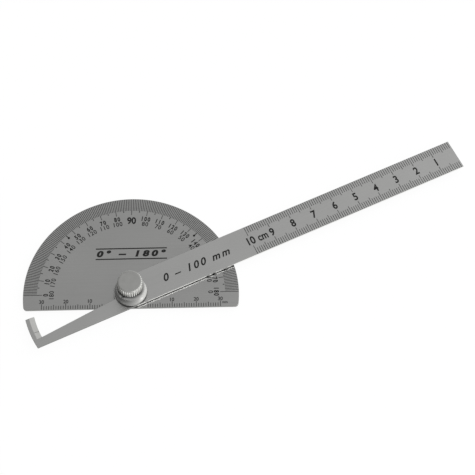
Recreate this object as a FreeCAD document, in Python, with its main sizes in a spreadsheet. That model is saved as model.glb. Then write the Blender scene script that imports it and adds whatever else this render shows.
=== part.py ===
import FreeCAD, Part
import math
import os

import Sketcher

# Driving sizes in millimetres and degrees, each written once.
SIZES = {
    # Protractor head: a half disc of plate with a straight strip below its centre.
    "head_radius": 44.85,
    "base_offset": 6.7,
    "base_corner": 1.5,
    "head_thickness": 1.0,
    # Ruler arm: blade, round pivot end, tapering tail and curved index foot.
    "arm_thickness": 1.0,
    "arm_upper": 7.25,
    "arm_lower": 6.7,
    "arm_reach": 155.3,
    "tail_root": 6.6,
    "tail_tip": 3.7,
    "foot_width": 3.8,
    "foot_margin": 0.05,
    "foot_rise": 6.9,
    "bevel_width": 2.2,
    "bevel_edge": 0.4,
    "rest_angle": 24.08,
    # Deburred edges of both stamped plates.
    "edge_break": 0.1,
    # Pivot screw: low round head at the back, square neck and round shank.
    "screw_head_radius": 6.0,
    "screw_head_height": 1.5,
    "screw_head_round": 0.8,
    "neck_step": 0.3,
    "neck_clearance": 0.05,
    "shank_radius": 2.5,
    "shank_chamfer": 0.5,
    # Washers: one holds the arm off the engraved face, one lies under the nut.
    "spacer_radius": 6.0,
    "spacer_thickness": 0.5,
    "washer_radius": 6.0,
    "washer_thickness": 0.5,
    # Thumb nut, from its seat upwards.
    "flange_radius": 6.8,
    "flange_chamfer": 0.2,
    "flange_side": 0.9,
    "flange_round": 0.5,
    "bell_rise": 3.3,
    "waist_length": 0.5,
    "waist_step": 0.35,
    "knurl_radius": 5.2,
    "knurl_band": 4.4,
    "knurl_depth": 0.35,
    "knurl_land": 0.2,
    "knurl_count": 34,
    "knurl_chamfer": 0.25,
    # Blind threaded bore of the nut, drawn at the thread's outer size.
    "bore_chamfer": 0.3,
    "bore_spare": 1.0,
    "bore_top_wall": 2.6,
    "drill_angle": 118.0,
    # Radial clearances on the shank.
    "pivot_clearance": 0.05,
    "washer_clearance": 0.1,
    "thread_clearance": 0.05,
}

# The foot runs just inside the head's rim, as wide as its own size says.
FOOT_OUTER = "(Sizes.head_radius - Sizes.foot_margin)"
FOOT_INNER = "(Sizes.head_radius - Sizes.foot_margin - Sizes.foot_width)"

# The square neck's corners stand outside the round shank.
NECK_WIDTH = "2 * (Sizes.shank_radius + Sizes.neck_step)"

# Heights of the stack, from the back of the screw's head up to the nut's seat.
HEAD_BASE = "Sizes.screw_head_height"
SPACER_BASE = HEAD_BASE + " + Sizes.head_thickness"
ARM_BASE = SPACER_BASE + " + Sizes.spacer_thickness"
WASHER_BASE = ARM_BASE + " + Sizes.arm_thickness"
NUT_BASE = WASHER_BASE + " + Sizes.washer_thickness"

# Heights and radii inside the nut, heights from its seat.
RIM_TOP = "Sizes.flange_side + Sizes.flange_round"
BELL_TOP = RIM_TOP + " + Sizes.bell_rise"
KNURL_BASE = BELL_TOP + " + Sizes.waist_length"
NUT_HEIGHT = KNURL_BASE + " + Sizes.knurl_band"
KNURL_ROOT = "Sizes.knurl_radius - Sizes.knurl_depth"
WAIST_RADIUS = KNURL_ROOT + " - Sizes.waist_step"
BORE_RADIUS = "Sizes.shank_radius + Sizes.thread_clearance"
BORE_DEPTH = NUT_HEIGHT + " - Sizes.bore_top_wall"
SHANK_END = f"{NUT_BASE} + {BORE_DEPTH} - Sizes.bore_spare"

# Numbers that a sketch uses for its origin, its axes and the points of an edge.
ORIGIN = (-1, 1)
ACROSS = -1
UPRIGHT = -2
START, END, CENTRE = 1, 2, 3

UP = FreeCAD.Vector(0, 0, 1)


def make_sheet(doc):
    sheet = doc.addObject("Spreadsheet::Sheet", "Sizes")
    for row, (alias, size) in enumerate(SIZES.items(), start=1):
        sheet.set(f"A{row}", alias)
        sheet.set(f"B{row}", str(size))
        sheet.setAlias(f"B{row}", alias)
    doc.recompute()


def number(owner, expression):
    value = owner.evalExpression(expression)
    return float(getattr(value, "Value", value))


def new_body(doc, label, base, turn=None):
    body = doc.addObject("PartDesign::Body", label)
    body.Label = label
    if turn:
        rotation = FreeCAD.Rotation(UP, number(body, turn))
        body.Placement = FreeCAD.Placement(FreeCAD.Vector(), rotation)
        body.setExpression("Placement.Rotation.Angle", turn)
    body.setExpression("Placement.Base.z", base)
    return body


def new_sketch(body, name, role, lift=None):
    sketch = body.newObject("Sketcher::SketchObject", name)
    plane = next(p for p in body.Origin.OriginFeatures if p.Role == role)
    sketch.AttachmentSupport = (plane, "")
    sketch.MapMode = "FlatFace"
    if lift:
        sketch.setExpression("AttachmentOffset.Base.z", lift)
    return sketch


def tie(sketch, kind, *places):
    sketch.addConstraint(Sketcher.Constraint(kind, *places))


def bind(sketch, expression, kind, *places):
    index = sketch.addConstraint(Sketcher.Constraint(kind, *places, number(sketch, expression)))
    sketch.setExpression(f"Constraints[{index}]", expression)


def line(start, end):
    return Part.LineSegment(FreeCAD.Vector(*start), FreeCAD.Vector(*end))


def arc(centre, radius, first, last):
    return Part.ArcOfCircle(Part.Circle(FreeCAD.Vector(*centre), UP, radius), first, last)


def circle_at_origin(sketch, radius):
    edge = sketch.addGeometry(Part.Circle(FreeCAD.Vector(), UP, number(sketch, radius)))
    tie(sketch, "Coincident", edge, CENTRE, *ORIGIN)
    bind(sketch, radius, "Radius", edge)


def square_at_origin(sketch, width):
    half = number(sketch, width) / 2
    corners = [(-half, half), (-half, -half), (half, -half), (half, half)]
    ends = zip(corners, corners[1:] + corners[:1])
    left, bottom, right, top = [sketch.addGeometry(line(a, b)) for a, b in ends]
    for before, after in ((left, bottom), (bottom, right), (right, top), (top, left)):
        tie(sketch, "Coincident", before, END, after, START)
    for side in (left, right):
        tie(sketch, "Vertical", side)
    for side in (bottom, top):
        tie(sketch, "Horizontal", side)
    tie(sketch, "Symmetric", left, START, bottom, END, *ORIGIN)
    tie(sketch, "Equal", left, bottom)
    bind(sketch, width, "DistanceX", bottom, START, bottom, END)


# An arc through two points that runs straight up or down at the first of them.
def flare(upright, other):
    run = other[0] - upright[0]
    rise = other[1] - upright[1]
    reach = (run * run + rise * rise) / (2 * run)
    centre = (upright[0] + reach, upright[1])
    first, last = (math.atan2(y - centre[1], x - centre[0]) for x, y in (upright, other))
    forward = (last - first) % (2 * math.pi) < math.pi
    if forward:
        return arc(centre, abs(reach), first, last), (START, END)
    return arc(centre, abs(reach), last, first), (END, START)


# A closed half section, whose corners are pairs of expressions: radius and height.
# flares names the edges that are arcs, and which of their ends runs upright.
def half_section(sketch, corners, flares):
    spots = [(number(sketch, radius), number(sketch, height)) for radius, height in corners]
    edges = []
    for i, here in enumerate(spots):
        there = spots[(i + 1) % len(spots)]
        if i not in flares:
            shape, ends = line(here, there), (START, END)
        elif flares[i] == START:
            shape, ends = flare(here, there)
        else:
            shape, ends = flare(there, here)
            ends = ends[::-1]
        edges.append((sketch.addGeometry(shape), *ends))
    for i, (radius, height) in enumerate(corners):
        edge, start, _ = edges[i]
        before, _, end = edges[i - 1]
        smooth = flares.get(i) == START or flares.get((i - 1) % len(corners)) == END
        tie(sketch, "Tangent" if smooth else "Coincident", before, end, edge, start)
        if radius == "0":
            tie(sketch, "PointOnObject", edge, start, UPRIGHT)
        else:
            bind(sketch, radius, "DistanceX", *ORIGIN, edge, start)
        if height == "0":
            tie(sketch, "PointOnObject", edge, start, ACROSS)
        else:
            bind(sketch, height, "DistanceY", *ORIGIN, edge, start)


def pad(body, sketch, length):
    feature = body.newObject("PartDesign::Pad", sketch.Name + "Pad")
    feature.Profile = sketch
    feature.setExpression("Length", length)
    return feature


def turned(body, kind, name, corners, flares):
    sketch = new_sketch(body, name, "XZ_Plane")
    half_section(sketch, corners, flares)
    feature = body.newObject(kind, name + "Turned")
    feature.Profile = sketch
    feature.ReferenceAxis = (sketch, ["V_Axis"])
    feature.Angle = 360
    return feature


# A small chamfer round every edge of a plate's two flat faces.
def break_edges(body, plate):
    body.Document.recompute()
    faces = enumerate(plate.Shape.Faces, start=1)
    flats = [f"Face{n}" for n, face in faces if abs(face.normalAt(0, 0).z) > 0.99]
    chamfer = body.newObject("PartDesign::Chamfer", plate.Name + "Edges")
    chamfer.Base = (plate, flats)
    chamfer.setExpression("Size", "Sizes.edge_break")


# The half disc: one long arc, two small corner arcs and the straight base edge.
def protractor_head(doc):
    body = new_body(doc, "protractor_head", HEAD_BASE)
    sketch = new_sketch(body, "HeadOutline", "XY_Plane")
    rim = number(sketch, "Sizes.head_radius")
    corner = number(sketch, "Sizes.base_corner")
    base = number(sketch, "Sizes.base_offset")
    corner_y = corner - base
    corner_x = math.sqrt((rim - corner) ** 2 - corner_y**2)
    dip = math.atan2(corner_y, corner_x)
    outline = sketch.addGeometry(arc((0, 0), rim, dip, math.pi - dip))
    left = sketch.addGeometry(arc((-corner_x, corner_y), corner, math.pi - dip, 1.5 * math.pi))
    edge = sketch.addGeometry(line((-corner_x, -base), (corner_x, -base)))
    right = sketch.addGeometry(arc((corner_x, corner_y), corner, 1.5 * math.pi, 2 * math.pi + dip))
    for before, after in ((outline, left), (left, edge), (edge, right), (right, outline)):
        tie(sketch, "Tangent", before, END, after, START)
    tie(sketch, "Coincident", outline, CENTRE, *ORIGIN)
    tie(sketch, "Horizontal", edge)
    tie(sketch, "Equal", left, right)
    bind(sketch, "Sizes.head_radius", "Radius", outline)
    bind(sketch, "Sizes.base_corner", "Radius", left)
    bind(sketch, "Sizes.base_offset", "DistanceY", edge, START, *ORIGIN)
    square_at_origin(sketch, f"{NECK_WIDTH} + 2 * Sizes.neck_clearance")
    break_edges(body, pad(body, sketch, "Sizes.head_thickness"))
    return body


# Blade, pivot end, tail and foot are one outline, drawn with the blade along X.
def arm_outline(sketch):
    upper = number(sketch, "Sizes.arm_upper")
    lower = number(sketch, "Sizes.arm_lower")
    reach = number(sketch, "Sizes.arm_reach")
    inner = number(sketch, FOOT_INNER)
    outer = number(sketch, FOOT_OUTER)
    rise = number(sketch, "Sizes.foot_rise")

    def on_arc(radius, y):
        return -math.sqrt(radius**2 - y**2), y

    def bearing(x, y):
        return math.atan2(y, x) % (2 * math.pi)

    root = on_arc(upper, number(sketch, "Sizes.tail_root") - lower)
    heel = on_arc(inner, number(sketch, "Sizes.tail_tip") - lower)
    tip_inner = on_arc(inner, rise)
    tip_outer = on_arc(outer, rise)
    sole = on_arc(outer, -lower)
    end = sketch.addGeometry(line((reach, -lower), (reach, upper)))
    top = sketch.addGeometry(line((reach, upper), (0, upper)))
    pivot = sketch.addGeometry(arc((0, 0), upper, math.pi / 2, bearing(*root)))
    tail = sketch.addGeometry(line(root, heel))
    foot_in = sketch.addGeometry(arc((0, 0), inner, bearing(*tip_inner), bearing(*heel)))
    tip = sketch.addGeometry(line(tip_inner, tip_outer))
    foot_out = sketch.addGeometry(arc((0, 0), outer, bearing(*tip_outer), bearing(*sole)))
    bottom = sketch.addGeometry(line(sole, (reach, -lower)))
    tie(sketch, "Coincident", end, END, top, START)
    tie(sketch, "Tangent", top, END, pivot, START)
    tie(sketch, "Coincident", pivot, END, tail, START)
    tie(sketch, "Coincident", tail, END, foot_in, END)
    tie(sketch, "Coincident", foot_in, START, tip, START)
    tie(sketch, "Coincident", tip, END, foot_out, START)
    tie(sketch, "Coincident", foot_out, END, bottom, START)
    tie(sketch, "Coincident", bottom, END, end, START)
    for curve in (pivot, foot_in, foot_out):
        tie(sketch, "Coincident", curve, CENTRE, *ORIGIN)
    for side in (top, tip, bottom):
        tie(sketch, "Horizontal", side)
    tie(sketch, "Vertical", end)
    bind(sketch, "Sizes.arm_upper", "Radius", pivot)
    bind(sketch, FOOT_INNER, "Radius", foot_in)
    bind(sketch, FOOT_OUTER, "Radius", foot_out)
    bind(sketch, "Sizes.arm_reach", "DistanceX", *ORIGIN, end, START)
    bind(sketch, "Sizes.arm_lower", "DistanceY", bottom, END, *ORIGIN)
    bind(sketch, "Sizes.foot_rise", "DistanceY", *ORIGIN, tip, START)
    bind(sketch, "Sizes.tail_tip", "DistanceY", bottom, START, tail, END)
    bind(sketch, "Sizes.tail_root", "DistanceY", bottom, START, tail, START)
    circle_at_origin(sketch, "Sizes.shank_radius + Sizes.pivot_clearance")


# The foot's reading edge is cut down to a thin edge by a cut turned about the pivot.
# It starts past the foot's free end and stops level with the tail's upper side.
def bevel_foot(body):
    heel = f"asin((Sizes.arm_lower - Sizes.tail_tip) / {FOOT_INNER})"
    past_tip = f"2 * asin(Sizes.foot_rise / {FOOT_INNER})"
    sketch = new_sketch(body, "BevelSection", "XZ_Plane")
    bearing = f"180 deg - {past_tip}"
    spin = FreeCAD.Rotation(FreeCAD.Vector(0, 1, 0), number(sketch, bearing))
    sketch.AttachmentOffset = FreeCAD.Placement(FreeCAD.Vector(), spin)
    sketch.setExpression("AttachmentOffset.Rotation.Angle", bearing)
    corners = [
        (FOOT_INNER, "Sizes.bevel_edge"),
        (f"{FOOT_INNER} + Sizes.bevel_width", "Sizes.arm_thickness"),
        (FOOT_INNER, "Sizes.arm_thickness"),
    ]
    half_section(sketch, corners, {})
    groove = body.newObject("PartDesign::Groove", "Bevel")
    groove.Profile = sketch
    groove.ReferenceAxis = (sketch, ["V_Axis"])
    groove.setExpression("Angle", f"{past_tip} + {heel}")


def ruler_arm(doc):
    body = new_body(doc, "ruler_arm", ARM_BASE, turn="Sizes.rest_angle")
    sketch = new_sketch(body, "ArmOutline", "XY_Plane")
    arm_outline(sketch)
    break_edges(body, pad(body, sketch, "Sizes.arm_thickness"))
    bevel_foot(body)
    return body


# Turned in one piece: the low head, whose back is the part's resting face, and the shank.
# The square neck under the head stops it turning in the plate.
def pivot_screw(doc):
    body = new_body(doc, "pivot_screw", "0")
    corners = [
        ("0", "0"),
        ("Sizes.screw_head_radius - Sizes.screw_head_round", "0"),
        ("Sizes.screw_head_radius", "Sizes.screw_head_round"),
        ("Sizes.screw_head_radius", HEAD_BASE),
        ("Sizes.shank_radius", HEAD_BASE),
        ("Sizes.shank_radius", f"{SHANK_END} - Sizes.shank_chamfer"),
        ("Sizes.shank_radius - Sizes.shank_chamfer", SHANK_END),
        ("0", SHANK_END),
    ]
    turned(body, "PartDesign::Revolution", "ScrewSection", corners, {1: END})
    neck = new_sketch(body, "Neck", "XY_Plane", lift=HEAD_BASE)
    square_at_origin(neck, NECK_WIDTH)
    pad(body, neck, "Sizes.head_thickness - Sizes.neck_clearance")
    return body


def flat_ring(doc, label, base, radius, thickness):
    body = new_body(doc, label, base)
    sketch = new_sketch(body, label + "_outline", "XY_Plane")
    circle_at_origin(sketch, radius)
    circle_at_origin(sketch, "Sizes.shank_radius + Sizes.washer_clearance")
    pad(body, sketch, thickness)
    return body


# Outer form: rounded flange, hollow bell, waist and the band that is knurled.
def nut_form(body):
    corners = [
        ("0", "0"),
        ("Sizes.flange_radius - Sizes.flange_chamfer", "0"),
        ("Sizes.flange_radius", "Sizes.flange_chamfer"),
        ("Sizes.flange_radius", "Sizes.flange_side"),
        ("Sizes.flange_radius - Sizes.flange_round", RIM_TOP),
        (WAIST_RADIUS, BELL_TOP),
        (WAIST_RADIUS, KNURL_BASE),
        ("Sizes.knurl_radius - Sizes.knurl_chamfer", KNURL_BASE),
        ("Sizes.knurl_radius", f"{KNURL_BASE} + Sizes.knurl_chamfer"),
        ("Sizes.knurl_radius", f"{NUT_HEIGHT} - Sizes.knurl_chamfer"),
        ("Sizes.knurl_radius - Sizes.knurl_chamfer", NUT_HEIGHT),
        ("0", NUT_HEIGHT),
    ]
    turned(body, "PartDesign::Revolution", "NutSection", corners, {3: START, 4: END})


def nut_bore(body):
    tip = f"{BORE_DEPTH} + ({BORE_RADIUS}) / tan(Sizes.drill_angle / 2 * 1 deg)"
    corners = [
        ("0", "0"),
        (f"{BORE_RADIUS} + Sizes.bore_chamfer", "0"),
        (BORE_RADIUS, "Sizes.bore_chamfer"),
        (BORE_RADIUS, BORE_DEPTH),
        ("0", tip),
    ]
    turned(body, "PartDesign::Groove", "BoreSection", corners, {})


# One V notch, cut down the band into the waist, then repeated all the way round.
def nut_knurl(body):
    pitch = "2 * pi * Sizes.knurl_radius / Sizes.knurl_count"
    mouth = f"2 * ({pitch} - Sizes.knurl_land)"
    outside = "Sizes.knurl_radius + Sizes.knurl_depth"
    sketch = new_sketch(body, "Notch", "XY_Plane", lift=NUT_HEIGHT)
    root = (number(sketch, KNURL_ROOT), 0)
    half = number(sketch, mouth) / 2
    low = (number(sketch, outside), -half)
    high = (number(sketch, outside), half)
    flank = sketch.addGeometry(line(root, low))
    opening = sketch.addGeometry(line(low, high))
    other_flank = sketch.addGeometry(line(high, root))
    tie(sketch, "Coincident", flank, END, opening, START)
    tie(sketch, "Coincident", opening, END, other_flank, START)
    tie(sketch, "Coincident", other_flank, END, flank, START)
    tie(sketch, "PointOnObject", flank, START, ACROSS)
    tie(sketch, "Symmetric", opening, START, opening, END, ACROSS)
    bind(sketch, KNURL_ROOT, "DistanceX", *ORIGIN, flank, START)
    bind(sketch, outside, "DistanceX", *ORIGIN, opening, START)
    bind(sketch, mouth, "DistanceY", opening, START, opening, END)
    notch = body.newObject("PartDesign::Pocket", "KnurlNotch")
    notch.Profile = sketch
    notch.setExpression("Length", "Sizes.knurl_band")
    knurl = body.newObject("PartDesign::PolarPattern", "Knurl")
    knurl.Originals = [notch]
    knurl.Axis = (sketch, ["N_Axis"])
    knurl.Angle = 360
    knurl.setExpression("Occurrences", "Sizes.knurl_count")
    body.Tip = knurl


def thumb_nut(doc):
    body = new_body(doc, "thumb_nut", NUT_BASE)
    nut_form(body)
    nut_bore(body)
    nut_knurl(body)
    return body


def write_parts(doc, bodies):
    doc.recompute()
    for item in doc.Objects:
        if "Invalid" in item.State or "Error" in item.State:
            raise RuntimeError(f"{item.Label} failed: {item.State}")
    os.makedirs("parts", exist_ok=True)
    for body in bodies:
        shape = body.Shape
        if shape.isNull() or not shape.isValid() or len(shape.Solids) != 1:
            raise RuntimeError(f"{body.Label} is not one valid solid")
        shape.exportStep(f"parts/{body.Label}.step")
        box = shape.BoundBox
        print(f"{body.Label}: {shape.Volume:.1f} mm3, z {box.ZMin:.2f} to {box.ZMax:.2f} mm")


document = FreeCAD.newDocument("AngleFinder")
make_sheet(document)
write_parts(
    document,
    [
        protractor_head(document),
        pivot_screw(document),
        flat_ring(
            document, "spacer_washer", SPACER_BASE, "Sizes.spacer_radius", "Sizes.spacer_thickness"
        ),
        ruler_arm(document),
        flat_ring(
            document, "knob_washer", WASHER_BASE, "Sizes.washer_radius", "Sizes.washer_thickness"
        ),
        thumb_nut(document),
    ],
)
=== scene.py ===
# %% [markdown]
# # A steel angle finder
# The tool is a half-disc protractor head, a ruler arm that swings over it, and a knurled thumb nut
# on a screw that locks the two. Its solids come from the CAD step. This lesson gives them their
# finishes, puts the etched scales on the plates and models the turned parts again with finer
# detail. All lengths are in metres, so millimetres are written as a number times MM.

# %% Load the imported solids
import math

import bmesh
import bpy
from mathutils import Matrix, Vector


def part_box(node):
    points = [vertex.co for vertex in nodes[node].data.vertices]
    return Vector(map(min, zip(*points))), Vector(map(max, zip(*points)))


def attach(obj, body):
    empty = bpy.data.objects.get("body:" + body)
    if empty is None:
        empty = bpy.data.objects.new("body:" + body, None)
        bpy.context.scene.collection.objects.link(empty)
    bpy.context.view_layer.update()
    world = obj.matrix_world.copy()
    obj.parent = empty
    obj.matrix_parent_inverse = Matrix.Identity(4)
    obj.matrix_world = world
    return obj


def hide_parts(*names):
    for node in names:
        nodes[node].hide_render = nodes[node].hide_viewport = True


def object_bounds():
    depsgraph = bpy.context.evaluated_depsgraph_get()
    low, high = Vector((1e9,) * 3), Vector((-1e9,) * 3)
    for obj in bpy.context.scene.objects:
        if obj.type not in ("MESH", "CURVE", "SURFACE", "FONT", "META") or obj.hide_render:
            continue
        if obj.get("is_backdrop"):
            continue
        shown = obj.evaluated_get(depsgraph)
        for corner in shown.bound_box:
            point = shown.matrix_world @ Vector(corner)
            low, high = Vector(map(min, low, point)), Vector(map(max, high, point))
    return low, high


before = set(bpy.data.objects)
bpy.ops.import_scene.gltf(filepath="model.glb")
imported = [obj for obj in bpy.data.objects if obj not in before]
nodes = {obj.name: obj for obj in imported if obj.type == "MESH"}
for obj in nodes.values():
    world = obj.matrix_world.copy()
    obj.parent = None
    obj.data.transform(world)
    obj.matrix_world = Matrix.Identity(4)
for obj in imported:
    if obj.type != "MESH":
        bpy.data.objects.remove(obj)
cad_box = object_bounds()
MM = 0.001
print("solids:", ", ".join(sorted(nodes)))

# %% [markdown]
# The plates lie flat, so two heights carry every mark: the top of the head and the top of the arm.
# They are read from the solids. The arm stands at about 24 degrees, so its marks are drawn along X
# and then turned by that angle, and so is the grain of its steel.

# %% Heights and directions
HEAD_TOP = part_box("protractor_head")[1].z
ARM_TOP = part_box("ruler_arm")[1].z
NUT_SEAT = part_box("thumb_nut")[0].z
HEAD_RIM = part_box("protractor_head")[1].x
ARM_TURN = math.radians(24.08)
print(f"head top {HEAD_TOP / MM:.2f} mm, arm top {ARM_TOP / MM:.2f} mm, rim {HEAD_RIM / MM:.2f} mm")

# %% [markdown]
# Colours are easiest to judge as the hex values of a picture, which are sRGB, while Blender's
# shaders want linear light. One function turns the first into the second. Another adds a node,
# sets it and links it, so that each finish below reads as a short list of what it is made of. A
# third puts a finish on a solid in place of the plain one that it came with.

# %% Colour and node helpers
def srgb(hex_code):
    channels = [int(hex_code[i : i + 2], 16) / 255 for i in (1, 3, 5)]
    linear = [c / 12.92 if c <= 0.04045 else ((c + 0.055) / 1.055) ** 2.4 for c in channels]
    return (*linear, 1.0)


def add(tree, kind, inputs=None, **settings):
    node = tree.nodes.new(kind)
    for name, value in settings.items():
        setattr(node, name, value)
    for name, value in (inputs or {}).items():
        if isinstance(value, bpy.types.NodeSocket):
            tree.links.new(value, node.inputs[name])
        else:
            node.inputs[name].default_value = value
    return node


def new_finish(name):
    finish = bpy.data.materials.new(name)
    finish.use_nodes = True
    finish.node_tree.nodes.clear()
    return finish, finish.node_tree


def dress(solid, finish):
    solid.data.materials.clear()
    solid.data.materials.append(finish)


print("a mid grey, #808080, is", round(srgb("#808080")[0], 3), "in linear light")

# %% [markdown]
# Patterns are placed by the object's own coordinates, which are metres from the pivot, so that
# each one has a real size and stays on its piece when the arm swings. The first helper turns and
# divides those coordinates by a size in millimetres along each axis. The second is a tone that
# wanders between two values over patches of that size.

# %% Patterns with real sizes
def pattern_space(tree, size_mm, turn=0.0):
    place = add(tree, "ShaderNodeTexCoord").outputs["Object"]
    turned = add(tree, "ShaderNodeMapping", {"Vector": place, "Rotation": (0, 0, -turn)})
    scale = tuple(1 / (size * MM) for size in size_mm)
    sized = add(tree, "ShaderNodeMapping", {"Vector": turned.outputs["Vector"], "Scale": scale})
    return sized.outputs["Vector"]


def wandering(tree, space, low, high):
    noise = add(tree, "ShaderNodeTexNoise", {"Vector": space, "Scale": 1.0, "Detail": 3.0})
    limits = {"From Min": 0.3, "From Max": 0.7, "To Min": low, "To Max": high}
    tone = add(tree, "ShaderNodeMapRange", {"Value": noise.outputs["Fac"], **limits})
    return tone.outputs["Result"]


def toned(tree, colour, tone):
    product = {0: 1.0, 6: colour, 7: tone}
    return add(tree, "ShaderNodeMix", product, data_type="RGBA", blend_type="MULTIPLY").outputs[2]


def blend_of(tree, share, first, second):
    mix = add(tree, "ShaderNodeMix", {0: share, 6: first, 7: second}, data_type="RGBA")
    return mix.outputs[2]


print("pattern helpers ready")

# %% [markdown]
# ## Satin stainless steel
# The plates are stainless sheet, ground with a fine belt before they are stamped. The belt leaves
# long, very fine scratches in one direction, which spread a reflection into an even grey. The
# grain is a noise stretched along the scratches. Real ones are about 0.02 mm wide, far too fine to
# show, so they are drawn 0.2 mm wide and faint. A wider, fainter cloud stands for handling.
#
# The foot's bevel is ground once more, and the cut sides are burnished smoother by the die, which
# their roughness shows. The bevel and the broken edges also get a lighter colour than the flat
# faces, which is a painted highlight. How upright a face's own direction is tells these apart: it is
# 1 on the flat faces, 0.96 on the bevel, which leans by 15 degrees, 0.7 on the broken edges and 0 on
# the sides.
# The blade's sides are also ground true, because they are ruled against; their near-white colour is
# a painted highlight, and the tail's darker one is painted shade. They are found by their place
# along the arm. The three limits below lie just under those values.

# %% Satin steel of the plates
UNDER_FACE, UNDER_BEVEL, UNDER_BREAK = 0.99, 0.9, 0.5


def leaning(tree, limit):
    normal = add(tree, "ShaderNodeNewGeometry").outputs["True Normal"]
    upright = add(tree, "ShaderNodeSeparateXYZ", {"Vector": normal}).outputs["Z"]
    height = add(tree, "ShaderNodeMath", {0: upright}, operation="ABSOLUTE").outputs["Value"]
    below = add(tree, "ShaderNodeMath", {0: height, 1: limit}, operation="LESS_THAN")
    return below.outputs["Value"]


def on_blade(tree, turn):
    place = add(tree, "ShaderNodeSeparateXYZ", {"Vector": pattern_space(tree, (1, 1, 1), turn)})
    along = place.outputs["X"]
    beyond = add(tree, "ShaderNodeMath", {0: along, 1: 0.0}, operation="GREATER_THAN")
    return beyond.outputs["Value"]


def satin_steel(name, face, bevel, side, blade_side_highlight, grain_turn):
    finish, tree = new_finish(name)
    grain = wandering(tree, pattern_space(tree, (25, 0.2, 0.2), grain_turn), 0.0, 1.0)
    cloud = wandering(tree, pattern_space(tree, (30, 30, 30)), 0.97, 1.03)
    streak = add(tree, "ShaderNodeMapRange", {"Value": grain, "To Min": 0.97, "To Max": 1.03})
    tone = add(tree, "ShaderNodeMath", {0: cloud, 1: streak.outputs["Result"]}, operation="MULTIPLY")
    # Leaning faces, the bevel and the broken edges, take the lighter bevel colour: a painted
    # highlight.
    flat_or_bevel = blend_of(tree, leaning(tree, UNDER_FACE), srgb(face), srgb(bevel))
    # Side colours: on the arm, a painted highlight on the blade's sides and painted shade on the
    # tail's.
    side_light = blend_of(tree, on_blade(tree, grain_turn), srgb(side), srgb(blade_side_highlight))
    steel = blend_of(tree, leaning(tree, UNDER_BREAK), flat_or_bevel, side_light)
    smooth = add(
        tree,
        "ShaderNodeMapRange",
        {"Value": leaning(tree, UNDER_BEVEL), "To Min": 0.28, "To Max": 0.2},
    ).outputs["Result"]
    rough = add(tree, "ShaderNodeMath", {0: grain, 1: 0.05, 2: smooth}, operation="MULTIPLY_ADD")
    relief = add(
        tree,
        "ShaderNodeBump",
        {"Height": grain, "Distance": 0.001 * MM, "Strength": 0.6},
    ).outputs["Normal"]
    shader = add(
        tree,
        "ShaderNodeBsdfPrincipled",
        {
            "Base Color": toned(tree, steel, tone.outputs["Value"]),
            "Metallic": 1.0,
            "Roughness": rough.outputs["Value"],
            "Normal": relief,
        },
    )
    add(tree, "ShaderNodeOutputMaterial", {"Surface": shader.outputs["BSDF"]})
    return finish


# The head's lighter bevel colour falls on its broken edges as a painted highlight.
head_steel = satin_steel("satin_stainless_head", "#8A8A89", "#9C9C9A", "#8C8C8A", "#8C8C8A", 0.0)
# On the arm, #F4F4F2 on the blade's sides is a painted highlight and #767674 on the tail's is
# painted shade.
arm_steel = satin_steel("satin_stainless_arm", "#969695", "#9E9E9C", "#767674", "#F4F4F2", ARM_TURN)
dress(nodes["protractor_head"], head_steel)
dress(nodes["ruler_arm"], arm_steel)
print("satin steel on protractor_head and ruler_arm")

# %% [markdown]
# ## Blanked washer steel
# The two washers are punched from plain strip and tumbled to take the burr off. Tumbling leaves a
# dull, speckled surface with no direction, so the noise is the same size every way. The tumbling
# marks are about 0.1 mm across and are drawn at 0.3 mm.

# %% Tumbled steel of the washers
def tumbled_steel(name, colour):
    finish, tree = new_finish(name)
    speckle = wandering(tree, pattern_space(tree, (0.3, 0.3, 0.3)), 0.9, 1.1)
    rough = add(tree, "ShaderNodeMath", {0: speckle, 1: 0.42}, operation="MULTIPLY")
    shader = add(
        tree,
        "ShaderNodeBsdfPrincipled",
        {
            "Base Color": toned(tree, srgb(colour), speckle),
            "Metallic": 1.0,
            "Roughness": rough.outputs["Value"],
        },
    )
    add(tree, "ShaderNodeOutputMaterial", {"Surface": shader.outputs["BSDF"]})
    return finish


washer_steel = tumbled_steel("tumbled_washer_steel", "#84847F")
for washer in ("spacer_washer", "knob_washer"):
    dress(nodes[washer], washer_steel)
print("tumbled steel on both washers")

# %% [markdown]
# ## Turned and plated metal
# The nut and the screw are turned on a lathe from bar and then nickel plated. The lathe's tool
# leaves fine rings round the axis. Rings come from a wave of distance from the axis, which the
# object's coordinates give, because the pivot stands on the origin. The wave runs through 20
# radians for each unit of its scale. The feed is about 0.1 mm a turn, and is drawn 0.3 mm wide.
#
# The bell and flange are satin, and their colour darkens with height towards the waist, which is
# painted shade under the knurl. The knurl is smoother, with a near-white colour at the crests of its
# teeth, a painted glint, and a darker one between them, painted shade, which is a change with
# radius.
# The flat top is brushed to match the plates.

# %% Turned metals of the nut and the screw
RING_WIDTH = 0.3 * MM
WAVE_RATE = 20


# Blends a colour into a darker one with height or with distance from the axis: painted shade.
def deeper_colour(tree, place, colour, shade_colour, measure, first_mm, last_mm):
    if measure == "height":
        distance = add(tree, "ShaderNodeSeparateXYZ", {"Vector": place}).outputs["Z"]
    else:
        flat = add(tree, "ShaderNodeVectorMath", {0: place, 1: (1, 1, 0)}, operation="MULTIPLY")
        across = flat.outputs["Vector"]
        radius = add(tree, "ShaderNodeVectorMath", {0: across}, operation="LENGTH")
        distance = radius.outputs["Value"]
    limits = {"From Min": first_mm * MM, "From Max": last_mm * MM}
    depth = add(tree, "ShaderNodeMapRange", {"Value": distance, **limits}).outputs["Result"]
    return blend_of(tree, depth, srgb(colour), srgb(shade_colour))


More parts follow.
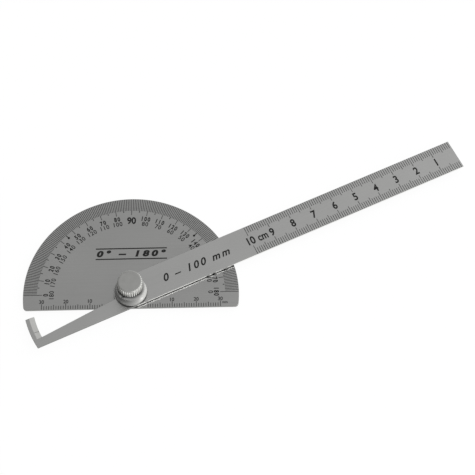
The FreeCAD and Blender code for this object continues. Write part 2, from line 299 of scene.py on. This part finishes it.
def turned_metal(name, colour, roughness, ring_depth_mm, painted_shade=None):
    finish, tree = new_finish(name)
    place = add(tree, "ShaderNodeTexCoord").outputs["Object"]
    metal = deeper_colour(tree, place, colour, *painted_shade) if painted_shade else srgb(colour)
    rings = add(
        tree,
        "ShaderNodeTexWave",
        {"Vector": place, "Scale": 2 * math.pi / (WAVE_RATE * RING_WIDTH), "Distortion": 0.6},
        wave_type="RINGS",
        rings_direction="Z",
    ).outputs["Fac"]
    patch = wandering(tree, pattern_space(tree, (2.5, 2.5, 2.5)), 0.95, 1.05)
    rough = add(tree, "ShaderNodeMath", {0: patch, 1: roughness}, operation="MULTIPLY")
    relief = add(
        tree,
        "ShaderNodeBump",
        {"Height": rings, "Distance": ring_depth_mm * MM, "Strength": 1.0},
    ).outputs["Normal"]
    shader = add(
        tree,
        "ShaderNodeBsdfPrincipled",
        {
            "Base Color": toned(tree, metal, patch),
            "Metallic": 1.0,
            "Roughness": rough.outputs["Value"],
            "Normal": relief,
        },
    )
    add(tree, "ShaderNodeOutputMaterial", {"Surface": shader.outputs["BSDF"]})
    return finish


seat = NUT_SEAT / MM
# Painted shade: the bell and flange darken with height towards the waist, under the knurl.
waist_shade = ("#505050", "height", seat + 2.4, seat + 3.8)
# Painted shade: the knurl darkens between its teeth, towards the root.
groove_shade = ("#7C7C7A", "radius", 5.02, 4.86)
satin_nickel_waist_shaded = turned_metal("satin_nickel_painted_waist_shade", "#A4A4A2", 0.28, 0.0003, waist_shade)
# The knurl's near-white crest colour is a painted glint.
knurl_glint_nickel = turned_metal("knurl_nickel_painted_glint_and_shade", "#F0F0EC", 0.16, 0.0002, groove_shade)
edge_nickel = turned_metal("turned_nickel_edge", "#AEAEAB", 0.24, 0.0003)
brushed_nickel = turned_metal("brushed_nickel_top", "#8E8E8C", 0.34, 0.001)
turned_steel = turned_metal("turned_screw_steel", "#A8A8A4", 0.28, 0.001)
print("five turned metals")

# %% [markdown]
# ## Etched marks
# The scales are etched into the steel with acid and filled with black lacquer, so they are matt
# and a little uneven. Each set of marks is its own piece: a slab that starts just inside the plate
# and stands 0.01 mm proud of it, because the lacquer lies flush and a deeper step would cast a
# shadow that the real marks don't have.

# %% Black lacquer
def etched_lacquer(name, dark, worn):
    finish, tree = new_finish(name)
    wear = wandering(tree, pattern_space(tree, (0.8, 0.8, 0.8)), 0.0, 1.0)
    rough = add(tree, "ShaderNodeMapRange", {"Value": wear, "To Min": 0.55, "To Max": 0.75})
    shader = add(
        tree,
        "ShaderNodeBsdfPrincipled",
        {
            "Base Color": blend_of(tree, wear, srgb(dark), srgb(worn)),
            "Roughness": rough.outputs["Result"],
            "Specular IOR Level": 0.2,
        },
    )
    add(tree, "ShaderNodeOutputMaterial", {"Surface": shader.outputs["BSDF"]})
    return finish


black_lacquer = etched_lacquer("etched_black_lacquer", "#0C0C0C", "#1E1E1D")
MARK_SUNK = 0.02 * MM
MARK_PROUD = 0.01 * MM
print("marks stand", MARK_PROUD / MM, "mm proud")

# %% [markdown]
# Every new piece is closed in the same way: vertices that met are merged, the faces are turned
# outwards, and edges sharper than a limit stay crisp while the rest is shaded smooth. The helper
# also counts open edges, which should be none, because an open shell can't be printed or weighed.

# %% Turn a bmesh into a piece that rides on a body
MERGE_UNDER = 0.0005 * MM
SMOOTH_UNDER = math.radians(30)


def make_piece(bm, name, body, finishes):
    bmesh.ops.remove_doubles(bm, verts=bm.verts, dist=MERGE_UNDER)
    bmesh.ops.recalc_face_normals(bm, faces=bm.faces)
    open_edges = sum(1 for edge in bm.edges if not edge.is_manifold)
    mesh = bpy.data.meshes.new(name)
    bm.to_mesh(mesh)
    bm.free()
    for finish in finishes:
        mesh.materials.append(finish)
    mesh.shade_smooth()
    mesh.set_sharp_from_angle(angle=SMOOTH_UNDER)
    piece = bpy.data.objects.new(name, mesh)
    bpy.context.scene.collection.objects.link(piece)
    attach(piece, body)
    print(f"{name}: {len(mesh.polygons)} faces, {open_edges} open edges")
    return piece


# %% [markdown]
# A tick is a cube stretched into a thin slab. On the ruler they stand in rows, so each is made
# where it belongs. On the protractor one tick is made on the X axis and spun round the pivot with
# duplicates, 180 steps for 180 degrees, as a dividing head would do it.

# %% Slabs and dots
MARK_THICKNESS = MARK_SUNK + MARK_PROUD
MARK_MIDDLE = (MARK_PROUD - MARK_SUNK) / 2


def slab(bm, low, high, top):
    size = Vector((high[0] - low[0], high[1] - low[1], MARK_THICKNESS))
    centre = Vector(((low[0] + high[0]) / 2, (low[1] + high[1]) / 2, top + MARK_MIDDLE))
    shape = Matrix.Translation(centre) @ Matrix.Diagonal((*size, 1))
    return bmesh.ops.create_cube(bm, size=1.0, matrix=shape)["verts"]


def dot(bm, centre, radius, top):
    place = Matrix.Translation((*centre, top + MARK_MIDDLE))
    return bmesh.ops.create_cone(
        bm,
        cap_ends=True,
        segments=16,
        radius1=radius,
        radius2=radius,
        depth=MARK_THICKNESS,
        matrix=place,
    )["verts"]


def spin_copies(bm, verts, first, last, steps):
    turn = Matrix.Rotation(math.radians(first), 4, "Z")
    bmesh.ops.transform(bm, matrix=turn, verts=verts)
    whole = set(verts)
    edges = [edge for edge in bm.edges if whole.issuperset(edge.verts)]
    faces = [face for face in bm.faces if whole.issuperset(face.verts)]
    bmesh.ops.spin(
        bm,
        geom=verts + edges + faces,
        cent=(0, 0, 0),
        axis=(0, 0, 1),
        angle=math.radians(last - first),
        steps=steps,
        use_duplicate=True,
    )


# %% [markdown]
# ### The degree scale
# Each degree has a tick that runs in from the rim. Each fifth tick is longer and ends in a dot,
# each tenth is longer still, and 45 and 135 degrees have a line with a bold dot, because those two
# are set most often. The longer parts start a little inside the plain ticks, so that they read as
# one.

# %% Degree ticks
TICK = 0.24 * MM
BOLD_TICK = 0.34 * MM
EDGE_GAP = 0.12 * MM
RIM_END = HEAD_RIM - EDGE_GAP
PLAIN_END, FIVES_END, TENS_END, BOLD_END = 39.1, 38.5, 37.0, 37.5
JOIN, BOLD_JOIN = 39.3 * MM, 39.2 * MM


def degree_ticks(bm, inner_mm, first, last, steps, outer=RIM_END, width=TICK):
    verts = slab(bm, (inner_mm * MM, -width / 2), (outer, width / 2), HEAD_TOP)
    spin_copies(bm, verts, first, last, steps)


bm = bmesh.new()
degree_ticks(bm, PLAIN_END, 0, 180, 180)
degree_ticks(bm, FIVES_END, 5, 175, 17, outer=JOIN)
degree_ticks(bm, TENS_END, 0, 180, 18, outer=JOIN)
degree_ticks(bm, BOLD_END, 45, 135, 1, outer=BOLD_JOIN, width=BOLD_TICK)
spin_copies(bm, dot(bm, (FIVES_END * MM, 0), 0.22 * MM, HEAD_TOP), 5, 175, 17)
spin_copies(bm, dot(bm, (BOLD_END * MM, 0), 0.5 * MM, HEAD_TOP), 45, 135, 1)
make_piece(bm, "head_degree_marks", "head", [black_lacquer])

# %% [markdown]
# ### The ruler scales
# The base edge has two short millimetre scales that start 7 mm each side of the pivot. The arm has
# a scale of 100 mm on both edges, counted from its far end, so its zero can be set against a stop.
# Fives and tens have longer ticks on each of them. How far a tick reaches from its edge is written
# as the place of its inner end, for plain ticks, fives and tens in that order.

# %% Ruler ticks
def reach_of(count, plain, fives, tens):
    if count % 10 == 0:
        return tens
    return fives if count % 5 == 0 else plain


BASE_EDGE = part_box("protractor_head")[0].y
BASE_ZERO = 7 * MM
BASE_TICK = 0.26 * MM
BASE_ENDS = (-4.95, -4.5, -4.05)
bm = bmesh.new()
for side in (-1, 1):
    for count in range(31):
        x = side * (BASE_ZERO + count * MM)
        inner = reach_of(count, *BASE_ENDS) * MM
        slab(bm, (x - BASE_TICK / 2, BASE_EDGE + EDGE_GAP), (x + BASE_TICK / 2, inner), HEAD_TOP)
make_piece(bm, "head_ruler_marks", "head", [black_lacquer])

ARM_ZERO = 155.4 * MM
ARM_UPPER = 7.13 * MM
ARM_LOWER = -6.58 * MM
ARM_TICK = 0.24 * MM
UPPER_ENDS, LOWER_ENDS = (4.05, 3.35, 2.7), (-3.7, -2.8, -2.3)
ALONG_ARM = Matrix.Rotation(ARM_TURN, 3, "Z")
bm = bmesh.new()
for count in range(1, 101):
    s = ARM_ZERO - count * MM
    upper = reach_of(count, *UPPER_ENDS) * MM
    lower = reach_of(count, *LOWER_ENDS) * MM
    slab(bm, (s - ARM_TICK / 2, upper), (s + ARM_TICK / 2, ARM_UPPER), ARM_TOP)
    slab(bm, (s - ARM_TICK / 2, ARM_LOWER), (s + ARM_TICK / 2, lower), ARM_TOP)
bmesh.ops.rotate(bm, verts=bm.verts, matrix=ALONG_ARM)
make_piece(bm, "arm_ruler_marks", "arm", [black_lacquer])

# %% [markdown]
# ### Numbers
# The numbers are text, made a mesh at size one and then fitted to a height in millimetres. A
# digit's own box gives its width, so it is centred on its tick as an engraver would centre it. The
# scales of the tool use narrow upright digits, bold on the outer row and light on the inner one.
# The built-in letters are wider than that, so they are squeezed, and an offset of the outline
# gives the weight.

# %% Text as thin slabs
def text_mesh(words, weight, slant, spacing):
    curve = bpy.data.curves.new("words", "FONT")
    curve.body = words
    curve.offset = weight
    curve.shear = slant
    curve.space_character = spacing
    curve.extrude = 0.5
    curve.resolution_u = 5
    holder = bpy.data.objects.new("words", curve)
    bpy.context.scene.collection.objects.link(holder)
    evaluated = holder.evaluated_get(bpy.context.evaluated_depsgraph_get())
    mesh = bpy.data.meshes.new_from_object(evaluated)
    bpy.data.objects.remove(holder)
    bpy.data.curves.remove(curve)
    return mesh


def text_span(mesh, axis):
    values = [vert.co[axis] for vert in mesh.vertices]
    return min(values), max(values)


DIGIT_LOW, DIGIT_HIGH = text_span(text_mesh("8", 0.0, 0.0, 1.0), 1)
DIGIT_MIDDLE = (DIGIT_LOW + DIGIT_HIGH) / 2


def lettering(
    bm, words, height, centre, top, turn=0.0, narrow=0.8, weight=0.0, slant=0.0, spacing=1.0
):
    mesh = text_mesh(words, weight, slant, spacing)
    left, right = text_span(mesh, 0)
    size = height / (DIGIT_HIGH - DIGIT_LOW)
    fit = (
        Matrix.Translation((*centre, top + MARK_MIDDLE))
        @ Matrix.Rotation(turn, 4, "Z")
        @ Matrix.Diagonal((size * narrow, size, MARK_THICKNESS, 1))
        @ Matrix.Translation((-(left + right) / 2, -DIGIT_MIDDLE, 0))
    )
    mesh.transform(fit)
    bm.from_mesh(mesh)
    bpy.data.meshes.remove(mesh)


print(f"a digit is {DIGIT_HIGH - DIGIT_LOW:.3f} high at size one")

# %% [markdown]
# The two rows of degrees run opposite ways: the outer one from 0 at the left, the inner one from 0
# at the right. Each number stands on its own radius with its head to the rim. The 90 is shared by
# both rows and is larger.

# %% Degree numbers
OUTER_ROW, INNER_ROW, SHARED_ROW = 35.45 * MM, 33.05 * MM, 34.35 * MM
DEGREE_HEIGHT, SHARED_HEIGHT = 1.95 * MM, 3.0 * MM
bm = bmesh.new()
for degrees in range(0, 181, 10):
    bearing = math.radians(180 - degrees)
    outwards = Vector((math.cos(bearing), math.sin(bearing)))
    turn = bearing - math.pi / 2
    if degrees == 90:
        lettering(bm, "90", SHARED_HEIGHT, outwards * SHARED_ROW, HEAD_TOP, turn, 0.88, 0.035)
        continue
    outer, inner = outwards * OUTER_ROW, outwards * INNER_ROW
    opposite = str(180 - degrees)
    lettering(bm, str(degrees), DEGREE_HEIGHT, outer, HEAD_TOP, turn, 0.77, 0.042, spacing=1.35)
    lettering(bm, opposite, DEGREE_HEIGHT, inner, HEAD_TOP, turn, 0.92, 0.016, spacing=1.14)
make_piece(bm, "head_degree_numbers", "head", [black_lacquer])

# %% Ruler numbers
ARM_NUMBER, ARM_NUMBER_Y = 3.45 * MM, 0.18 * MM
bm = bmesh.new()
for side in (-1, 1):
    for tens in (10, 20, 30):
        centre = (side * (BASE_ZERO + tens * MM), -3.1 * MM)
        lettering(bm, str(tens), 1.6 * MM, centre, HEAD_TOP, narrow=0.92, weight=0.022)
lettering(bm, "mm", 1.3 * MM, (38.9 * MM, -4.7 * MM), HEAD_TOP, narrow=0.8, weight=0.015)
make_piece(bm, "head_ruler_numbers", "head", [black_lacquer])

bm = bmesh.new()
for centimetres in range(1, 10):
    centre = (ARM_ZERO - centimetres * 10 * MM, ARM_NUMBER_Y)
    lettering(bm, str(centimetres), ARM_NUMBER, centre, ARM_TOP, narrow=0.85, weight=0.03)
for words, s, narrow, weight in (("10", 55.6, 0.85, 0.03), ("cm", 60.95, 0.78, 0.026)):
    centre = (s * MM, ARM_NUMBER_Y)
    lettering(bm, words, ARM_NUMBER, centre, ARM_TOP, narrow=narrow, weight=weight)
bmesh.ops.rotate(bm, verts=bm.verts, matrix=ALONG_ARM)
make_piece(bm, "arm_ruler_numbers", "arm", [black_lacquer])

# %% [markdown]
# ### Range panels
# The head has a panel between two rules and the arm has a line of lettering near the pivot. Both
# carry the range of the scale beside them and nothing else.

# %% Range of each scale
RULE_END, RULE_HALF = 15 * MM, 0.27
bm = bmesh.new()
for rule_y in (21.0, 16.1):
    low, high = (rule_y - RULE_HALF) * MM, (rule_y + RULE_HALF) * MM
    slab(bm, (-RULE_END, low), (RULE_END, high), HEAD_TOP)
lettering(bm, "0° – 180°", 2.6 * MM, (0, 18.6 * MM), HEAD_TOP, 0, 1.32, 0.06, 0.2, 1.5)
make_piece(bm, "head_range_panel", "head", [black_lacquer])

bm = bmesh.new()
lettering(bm, "0 – 100 mm", 3.3 * MM, (30 * MM, 0), ARM_TOP, 0, 1.0, 0.025, 0.35, 1.36)
bmesh.ops.rotate(bm, verts=bm.verts, matrix=ALONG_ARM)
make_piece(bm, "arm_range_text", "arm", [black_lacquer])

# %% [markdown]
# ### The index line
# The foot's bevel has one fine line across it, on the line through the pivot. It is the line that
# is read against the degree scale. The slab is made flat and then leaned by the bevel's own slope.
# It is thinner than the ticks that it is read against.

# %% Index line on the bevel
BEVEL_INNER, BEVEL_OUTER = 41.0 * MM, 43.2 * MM
BEVEL_LOW, BEVEL_HIGH = ARM_TOP - 0.6 * MM, ARM_TOP
INDEX_HALF, INDEX_GAP = 0.07 * MM, 0.02 * MM
slope = math.atan2(BEVEL_HIGH - BEVEL_LOW, BEVEL_OUTER - BEVEL_INNER)
length = math.hypot(BEVEL_HIGH - BEVEL_LOW, BEVEL_OUTER - BEVEL_INNER)
bm = bmesh.new()
verts = slab(bm, (-length / 2 + INDEX_GAP, -INDEX_HALF), (length / 2, INDEX_HALF), 0)
middle = Vector((-(BEVEL_INNER + BEVEL_OUTER) / 2, 0, (BEVEL_LOW + BEVEL_HIGH) / 2))
lean = (
    Matrix.Rotation(ARM_TURN, 4, "Z")
    @ Matrix.Translation(middle)
    @ Matrix.Rotation(slope, 4, "Y")
)
bmesh.ops.transform(bm, matrix=lean, verts=verts)
make_piece(bm, "index_line", "arm", [black_lacquer])

# %% [markdown]
# ## The thumb nut
# A turned part is a profile spun round its axis. The profile starts as one vertex at the bottom of
# the bore and is drawn onwards: extruded for each straight run and spun about a centre for each
# curve. Then the whole profile is spun round the pivot. It needs enough steps for the knurl, eight
# to each of its 34 teeth, and a full spin merges its last step with its first.

# %% Draw a profile with operators
def start_profile(radius, height):
    bm = bmesh.new()
    return bm, bm.verts.new((radius * MM, 0, height * MM))


def run_to(bm, vert, radius, height):
    made = bmesh.ops.extrude_vert_indiv(bm, verts=[vert])["verts"][0]
    made.co = (radius * MM, 0, height * MM)
    return made


def curve_about(bm, vert, centre, degrees, steps):
    made = bmesh.ops.spin(
        bm,
        geom=[vert],
        cent=(centre[0] * MM, 0, centre[1] * MM),
        axis=(0, 1, 0),
        angle=math.radians(degrees),
        steps=steps,
    )
    return made["geom_last"][0]


def turn_on_lathe(bm, base, steps):
    bmesh.ops.spin(
        bm,
        geom=bm.verts[:] + bm.edges[:],
        cent=(0, 0, 0),
        axis=(0, 0, 1),
        angle=2 * math.pi,
        steps=steps,
        use_merge=True,
    )
    bmesh.ops.translate(bm, verts=bm.verts, vec=(0, 0, base))


# %% [markdown]
# The nut's form from its seat up: a thin flange with a rounded rim, a hollow bell that rises to a
# short waist, and the band that is knurled. The bell flows into the rim without a step, so its arc
# has to touch the rim's. Two arcs that touch have their centres as far apart as their radii
# together, which gives the place of the bell's centre. The top's shallow chamfer runs in further
# than the knurl is deep, so a plain ring runs round the top and catches the light. One more point
# divides the flat top, so that its faces don't all run to the axis.

# %% Nut profile
FLANGE, RIM_HEIGHT, RIM_ROUND, SEAT_ROUND = 6.8, 0.6, 0.5, 0.2
WAIST, BELL_TOP = 4.5, 4.7
KNURL_FOOT, KNURL_ROOT, KNURL_CREST, NUT_HEIGHT = 5.3, 4.82, 5.16, 9.6
TOP_CHAMFER, TOP_FALL, FOOT_CHAMFER = 0.42, 0.24, 0.25
BORE, BORE_CHAMFER, BORE_DEPTH, BORE_TIP = 2.55, 0.3, 7.0, 8.53
TOP_DIVIDE = 4.2
TEETH, STEPS_PER_TOOTH = 34, 8

rim_centre = (FLANGE - RIM_ROUND, RIM_HEIGHT)
bell_rise = BELL_TOP - RIM_HEIGHT
bell_centre_x = rim_centre[0] ** 2 + bell_rise**2 - (WAIST - RIM_ROUND) ** 2
bell_centre_x /= 2 * (FLANGE - WAIST)
bell_sweep = math.degrees(math.atan2(bell_rise, bell_centre_x - rim_centre[0]))

bm, tip = start_profile(0, BORE_TIP)
tip = run_to(bm, tip, BORE, BORE_DEPTH)
tip = run_to(bm, tip, BORE, BORE_CHAMFER)
tip = run_to(bm, tip, BORE + BORE_CHAMFER, 0)
tip = run_to(bm, tip, FLANGE - SEAT_ROUND, 0)
tip = curve_about(bm, tip, (FLANGE - SEAT_ROUND, SEAT_ROUND), -90, 4)
tip = run_to(bm, tip, FLANGE, RIM_HEIGHT)
tip = curve_about(bm, tip, rim_centre, -bell_sweep, 8)
tip = curve_about(bm, tip, (bell_centre_x, BELL_TOP), bell_sweep, 16)
for radius, height in (
    (WAIST, KNURL_FOOT),
    (KNURL_CREST - FOOT_CHAMFER, KNURL_FOOT),
    (KNURL_CREST, KNURL_FOOT + FOOT_CHAMFER),
    (KNURL_CREST, NUT_HEIGHT - TOP_FALL),
    (KNURL_ROOT, NUT_HEIGHT - TOP_FALL * (1 - (KNURL_CREST - KNURL_ROOT) / TOP_CHAMFER)),
    (KNURL_CREST - TOP_CHAMFER, NUT_HEIGHT),
    (TOP_DIVIDE, NUT_HEIGHT),
    (0, NUT_HEIGHT),
):
    tip = run_to(bm, tip, radius, height)
print("profile has", len(bm.verts), "points")
turn_on_lathe(bm, NUT_SEAT, TEETH * STEPS_PER_TOOTH)

# %% [markdown]
# The knurl is pressed in by a roller with straight ridges. Here each vertex of the band is drawn
# in to the roller's V where it stands outside it, so the chamfers above and below cut the teeth
# short just as they do on the real nut. A narrow land is left on the crest of each tooth.

# %% Press the knurl into the band
CREST_LAND = 0.2
JUST_UNDER = 0.01


def knurl_radius(angle):
    pitch = 2 * math.pi / TEETH
    off_centre = abs((angle / pitch + 0.5) % 1 - 0.5) * pitch * KNURL_CREST
    half_mouth = (pitch * KNURL_CREST - CREST_LAND) / 2
    return KNURL_ROOT + (KNURL_CREST - KNURL_ROOT) * min(1, off_centre / half_mouth)


pressed = 0
for vert in bm.verts:
    radius = math.hypot(vert.co.x, vert.co.y)
    if vert.co.z < NUT_SEAT + (KNURL_FOOT - JUST_UNDER) * MM or radius < KNURL_ROOT * MM:
        continue
    limit = knurl_radius(math.atan2(vert.co.y, vert.co.x)) * MM
    if radius > limit:
        vert.co.xy *= limit / radius
        pressed += 1
print("vertices pressed in:", pressed)

# %% [markdown]
# A screw thread is a ridge that climbs as it goes round. Its section is a small four-sided face,
# wide at the root and narrow at the crest, which is spun round the axis while it climbs 0.8 mm a
# turn. That climb is the spin's dvec. Its root is sunk a little into the metal. The nut's ridge
# stands half a pitch above the screw's, so the two run in each other's grooves with a little
# clearance, here and wherever the nut is turned to.

# %% Thread ridge
PITCH = 0.8
THREAD_CORE, THREAD_CREST = 2.02, 2.48
NUT_CREST = 2.06
THREAD_START = ARM_TOP / MM + 0.3
FIRST_RIDGE = THREAD_START + 0.4
STEPS_PER_TURN = 32
ROOT_HALF, CREST_HALF = 0.36, 0.06
SUNK_ROOT = 0.05


def add_ridge(bm, root, crest, bottom, turns):
    corners = [
        (root, bottom - ROOT_HALF),
        (root, bottom + ROOT_HALF),
        (crest, bottom + CREST_HALF),
        (crest, bottom - CREST_HALF),
    ]
    verts = [bm.verts.new((radius * MM, 0, height * MM)) for radius, height in corners]
    section = bm.faces.new(verts)
    bmesh.ops.spin(
        bm,
        geom=[section, *section.edges, *verts],
        cent=(0, 0, 0),
        axis=(0, 0, 1),
        dvec=(0, 0, PITCH * MM / STEPS_PER_TURN),
        angle=2 * math.pi * turns,
        steps=round(turns * STEPS_PER_TURN),
    )


# %% [markdown]
# The nut has four finishes, one above the other: the flange and bell up to the knurl, the knurl,
# the chamfer at its top and the flat top. A face is sorted by how many of the three limits between
# them it lies above. The bore keeps the first finish.

# %% Finish the nut
limits = (KNURL_FOOT, NUT_HEIGHT - TOP_FALL, NUT_HEIGHT)
levels = [NUT_SEAT + (height - JUST_UNDER) * MM for height in limits]
for face in bm.faces:
    lowest = min(vert.co.z for vert in face.verts)
    outermost = max(vert.co.xy.length for vert in face.verts)
    if outermost > WAIST * MM or lowest > levels[2]:
        face.material_index = sum(1 for level in levels if lowest > level)
add_ridge(bm, BORE + SUNK_ROOT, NUT_CREST, FIRST_RIDGE + 1.5 * PITCH, 6)
nut_finishes = [satin_nickel_waist_shaded, knurl_glint_nickel, edge_nickel, brushed_nickel]
thumb_nut = make_piece(bm, "thumb_nut_knurled", "nut", nut_finishes)
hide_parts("thumb_nut")

# %% [markdown]
# ## The pivot screw
# It is one turned piece with a low round head at the back, a square neck in the head plate, and an
# M5 thread above the arm, which shows in the gap under the nut when the nut is screwed up.

# %% Screw with its head, neck and thread
HEAD_HEIGHT, NECK_TOP, SCREW_TOP = 1.5, 2.45, 10.5
SCREW_HEAD, SCREW_ROUND, SCREW_BREAK = 6.0, 0.8, 0.08
SHANK, THREAD_CHAMFER, NECK = 2.5, 0.3, 5.6
bm, tip = start_profile(0, 0)
tip = run_to(bm, tip, SCREW_HEAD - SCREW_ROUND, 0)
tip = curve_about(bm, tip, (SCREW_HEAD - SCREW_ROUND, SCREW_ROUND), -90, 8)
for radius, height in (
    (SCREW_HEAD, HEAD_HEIGHT - SCREW_BREAK),
    (SCREW_HEAD - SCREW_BREAK, HEAD_HEIGHT),
    (SHANK, HEAD_HEIGHT),
    (SHANK, THREAD_START - THREAD_CHAMFER),
    (THREAD_CORE, THREAD_START),
    (THREAD_CORE, SCREW_TOP - THREAD_CHAMFER),
    (THREAD_CORE - THREAD_CHAMFER, SCREW_TOP),
    (0, SCREW_TOP),
):
    tip = run_to(bm, tip, radius, height)
turn_on_lathe(bm, 0, 96)
add_ridge(bm, THREAD_CORE - SUNK_ROOT, THREAD_CREST, FIRST_RIDGE, 6.5)
neck_place = Matrix.Translation((0, 0, (HEAD_HEIGHT + NECK_TOP) / 2 * MM))
neck_size = Matrix.Diagonal((NECK * MM, NECK * MM, (NECK_TOP - HEAD_HEIGHT) * MM, 1))
bmesh.ops.create_cube(bm, size=1.0, matrix=neck_place @ neck_size)
pivot_screw = make_piece(bm, "pivot_screw_threaded", "head", [turned_steel])
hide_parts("pivot_screw")

# %% [markdown]
# ## The studio
# Metal shows what stands round it, so the surroundings are made first. The world is a soft room,
# whose level depends only on how far a direction leans to the bright side. It is dark at the left,
# grey in front, and at a plain level of 1 overhead and high up behind, which is what the plates
# mirror. At the right, where a large window would be, it is brighter still.

# %% Soft room
world = bpy.data.worlds.new("soft_room")
world.use_nodes = True
bpy.context.scene.world = world
tree = world.node_tree
tree.nodes.clear()
BRIGHT_SIDE = Vector((0.85, 0.20, 0.48)).normalized()
looking = add(tree, "ShaderNodeTexCoord").outputs["Generated"]
facing = add(
    tree,
    "ShaderNodeVectorMath",
    {0: looking, 1: BRIGHT_SIDE},
    operation="DOT_PRODUCT",
).outputs["Value"]


def room_level(kind, first, last, low, high):
    inputs = {"Value": facing, "From Min": first, "From Max": last, "To Min": low, "To Max": high}
    return add(tree, "ShaderNodeMapRange", inputs, interpolation_type=kind).outputs["Result"]


walls = room_level("LINEAR", -0.65, 0.45, 0.15, 1.0)
window = room_level("SMOOTHSTEP", 0.56, 0.92, 0.0, 0.85)
level = add(tree, "ShaderNodeMath", {0: walls, 1: window}, operation="ADD").outputs["Value"]
room = add(tree, "ShaderNodeBackground", {"Color": (1, 1, 1, 1), "Strength": level})
backdrop = add(tree, "ShaderNodeBackground", {"Color": (1, 1, 1, 1), "Strength": 1.0})
seen = add(tree, "ShaderNodeLightPath").outputs["Is Camera Ray"]
either = add(
    tree,
    "ShaderNodeMixShader",
    {0: seen, 1: room.outputs["Background"], 2: backdrop.outputs["Background"]},
)
add(tree, "ShaderNodeOutputWorld", {"Surface": either.outputs["Shader"]})
print("the bright side faces", tuple(round(v, 2) for v in BRIGHT_SIDE))

# %% [markdown]
# The floor is white paper. Paper that is lit evenly is as bright as its own colour, so to the
# camera, to gloss and through glass it is mostly a plain white, and the part that is left keeps
# the object's soft shadow. To every other ray it is ordinary matt paper.

# %% Paper floor
paper, tree = new_finish("white_paper_floor")
matt = add(tree, "ShaderNodeBsdfDiffuse", {"Color": srgb("#FAFAFA")})
white = add(tree, "ShaderNodeEmission", {"Color": (1, 1, 1, 1), "Strength": 1.0})
path = add(tree, "ShaderNodeLightPath")
shiny = add(
    tree,
    "ShaderNodeMath",
    {0: path.outputs["Is Camera Ray"], 1: path.outputs["Is Glossy Ray"]},
    operation="MAXIMUM",
)
direct = add(
    tree,
    "ShaderNodeMath",
    {0: shiny.outputs["Value"], 1: path.outputs["Is Transmission Ray"]},
    operation="MAXIMUM",
)
PLAIN_SHARE = 0.94
whole = direct.outputs["Value"]
share = add(tree, "ShaderNodeMath", {0: whole, 1: PLAIN_SHARE}, operation="MULTIPLY")
mixed = add(
    tree,
    "ShaderNodeMixShader",
    {0: share.outputs["Value"], 1: matt.outputs["BSDF"], 2: white.outputs["Emission"]},
)
add(tree, "ShaderNodeOutputMaterial", {"Surface": mixed.outputs["Shader"]})
bm = bmesh.new()
bmesh.ops.create_grid(bm, x_segments=1, y_segments=1, size=3.0)
FLOOR_DROP = 0.02 * MM
bmesh.ops.translate(bm, verts=bm.verts, vec=(0, 0, -FLOOR_DROP))
sheet = bpy.data.meshes.new("paper_floor")
bm.to_mesh(sheet)
bm.free()
sheet.materials.append(paper)
floor = bpy.data.objects.new("paper_floor", sheet)
bpy.context.scene.collection.objects.link(floor)
floor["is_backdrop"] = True
print("floor laid at z =", -FLOOR_DROP / MM, "mm")

# %% [markdown]
# Two softboxes hang over the tool, in front of it at the right. The corner between the arm's
# ground side and the head plate sends the high one on to the camera, so the side, whose near-white
# colour is a painted highlight too, shows as a bright line with its mirror image below it. The low
# one is small and gives the rim of the nut's flange its glint.

# %% Softboxes
for name, place, size, power in (
    ("high_softbox", (0.32, -0.30, 0.90), 0.22, 1.1),
    ("low_softbox", (0.80, -0.36, 0.46), 0.12, 0.25),
):
    lamp = bpy.data.lights.new(name, "AREA")
    lamp.shape = "SQUARE"
    lamp.size = size
    lamp.energy = power
    softbox = bpy.data.objects.new(name, lamp)
    softbox.location = Vector(place)
    softbox.rotation_euler = softbox.location.to_track_quat("Z", "Y").to_euler()
    bpy.context.scene.collection.objects.link(softbox)
    print(name, round(softbox.location.length, 2), "m away")

# %% [markdown]
# ## The camera
# It looks down at 62 degrees from the front, aimed at the middle of the tool, with a long lens as
# for a catalogue photo. Its place, aim and small roll were found by fitting a camera to the
# scales.

# %% Camera
lens = bpy.data.cameras.new("catalogue_camera")
lens.sensor_width = 36
lens.lens = 107.154
camera = bpy.data.objects.new("catalogue_camera", lens)
camera.location = Vector((29.890, -251.315, 535.208)) * MM
aim = Vector((44.961, 25.216, 2.5)) * MM
straight = (aim - camera.location).to_track_quat("-Z", "Y")
roll = Matrix.Rotation(math.radians(1.6347), 3, "Z").to_quaternion()
camera.rotation_mode = "QUATERNION"
camera.rotation_quaternion = straight @ roll
bpy.context.scene.collection.objects.link(camera)
bpy.context.scene.camera = camera
print("camera", round((aim - camera.location).length, 3), "m from its aim")

# %% [markdown]
# ## Finish
# The Standard view is set, so that a colour comes out as it was mixed. The boxes of the solids and
# of the dressed tool are printed side by side.

# %% The view and the two sizes
bpy.context.scene.view_settings.view_transform = "Standard"
boxes = [[list(corner) for corner in box] for box in (cad_box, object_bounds())]
for name, box in zip(("solids", "dressed"), boxes):
    print(name, [[round(v / MM, 3) for v in corner] for corner in box])
